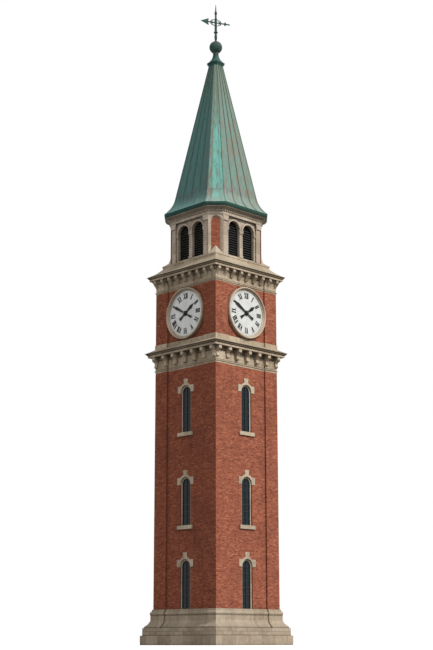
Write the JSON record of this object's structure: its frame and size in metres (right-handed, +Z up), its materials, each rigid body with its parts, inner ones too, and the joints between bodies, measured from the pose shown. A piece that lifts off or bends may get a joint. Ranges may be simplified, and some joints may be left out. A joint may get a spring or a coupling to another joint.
{
  "type": "clock tower",
  "caption": "Square brick clock tower with stone base and bracketed cornices, four dials with hands, a louvred eight-sided belfry and a green copper spire with a turning weathervane",
  "frame": {"origin": "middle of the underside of the ground course, on the ground", "axes": "+Z up the tower; -Y is the front face, -X the left face"},
  "size_m": [6.04, 6.04, 38.832],
  "materials": {
    "limestone": "matte",
    "brick": "matte",
    "weathered_copper": "matte",
    "window_glass": "gloss",
    "dial_white": "satin",
    "hand_black": "satin",
    "louvre_dark": "matte",
    "floor_concrete": "matte"
  },
  "bodies": {
    "tower": {"base_moulding": "limestone", "belfry_arcade_back": "limestone", "belfry_arcade_front": "limestone", "belfry_arcade_left": "limestone", "belfry_arcade_right": "limestone", "belfry_brick_panels": "brick", "belfry_capitals": "limestone", "belfry_corners": "limestone", "belfry_cornice": "limestone", "belfry_floor": "floor_concrete", "belfry_frieze": "limestone", "belfry_louvres": "louvre_dark", "belfry_mullions": "limestone", "block_course": "limestone", "clock_corner_piers": "brick", "clock_course": "limestone", "clock_floor": "floor_concrete", "clock_wall_back": "brick", "clock_wall_front": "brick", "clock_wall_left": "brick", "clock_wall_right": "brick", "corner_broaches": "limestone", "dial_surrounds": "limestone", "dials": "dial_white", "finial_ball": "weathered_copper", "finial_collar": "weathered_copper", "first_floor": "floor_concrete", "ground_course": "limestone", "lower_architrave": "limestone", "lower_consoles": "limestone", "lower_cornice": "limestone", "lower_frieze": "limestone", "plinth_course": "limestone", "roof_eave": "weathered_copper", "second_floor": "floor_concrete", "shaft_corner_piers": "brick", "shaft_wall_back": "brick", "shaft_wall_front": "brick", "shaft_wall_left": "brick", "shaft_wall_right": "brick", "spire_corner_slopes": "weathered_copper", "spire_main_slopes": "weathered_copper", "upper_architrave": "limestone", "upper_cornice": "limestone", "upper_frieze": "limestone", "upper_modillions": "limestone", "vane_mast": "weathered_copper", "window_hoods": "limestone", "window_linings": "limestone", "window_panes": "window_glass", "window_sills": "limestone"},
    "hour_hand_back": {"hour_hand_back": "hand_black"},
    "hour_hand_front": {"hour_hand_front": "hand_black"},
    "hour_hand_left": {"hour_hand_left": "hand_black"},
    "hour_hand_right": {"hour_hand_right": "hand_black"},
    "minute_hand_back": {"minute_hand_back": "hand_black"},
    "minute_hand_front": {"minute_hand_front": "hand_black"},
    "minute_hand_left": {"minute_hand_left": "hand_black"},
    "minute_hand_right": {"minute_hand_right": "hand_black"},
    "weathervane": {"weathervane": "weathered_copper"}
  },
  "joints": [
    {"name": "front_minute_turn", "type": "hinge", "parent": "tower", "child": "minute_hand_front", "pos_m": [0, 0, 18.582], "axis": [0, 1, 0], "continuous": true},
    {"name": "front_hour_turn", "type": "hinge", "parent": "tower", "child": "hour_hand_front", "pos_m": [0, 0, 18.582], "axis": [0, 1, 0], "continuous": true},
    {"name": "right_minute_turn", "type": "hinge", "parent": "tower", "child": "minute_hand_right", "pos_m": [0, 0, 18.582], "axis": [-1, 0, 0], "continuous": true},
    {"name": "right_hour_turn", "type": "hinge", "parent": "tower", "child": "hour_hand_right", "pos_m": [0, 0, 18.582], "axis": [-1, 0, 0], "continuous": true},
    {"name": "back_minute_turn", "type": "hinge", "parent": "tower", "child": "minute_hand_back", "pos_m": [0, 0, 18.582], "axis": [0, -1, 0], "continuous": true},
    {"name": "back_hour_turn", "type": "hinge", "parent": "tower", "child": "hour_hand_back", "pos_m": [0, 0, 18.582], "axis": [0, -1, 0], "continuous": true},
    {"name": "left_minute_turn", "type": "hinge", "parent": "tower", "child": "minute_hand_left", "pos_m": [0, 0, 18.582], "axis": [1, 0, 0], "continuous": true},
    {"name": "left_hour_turn", "type": "hinge", "parent": "tower", "child": "hour_hand_left", "pos_m": [0, 0, 18.582], "axis": [1, 0, 0], "continuous": true},
    {"name": "vane_turn", "type": "hinge", "parent": "tower", "child": "weathervane", "pos_m": [0, 0, 37.629], "axis": [0, 0, 1], "continuous": true}
  ],
  "couplings": [
    {"joint": "front_hour_turn", "follows": "front_minute_turn", "ratio": 0.083333},
    {"joint": "right_minute_turn", "follows": "front_minute_turn", "ratio": 1},
    {"joint": "right_hour_turn", "follows": "front_minute_turn", "ratio": 0.083333},
    {"joint": "back_minute_turn", "follows": "front_minute_turn", "ratio": 1},
    {"joint": "back_hour_turn", "follows": "front_minute_turn", "ratio": 0.083333},
    {"joint": "left_minute_turn", "follows": "front_minute_turn", "ratio": 1},
    {"joint": "left_hour_turn", "follows": "front_minute_turn", "ratio": 0.083333}
  ]
}
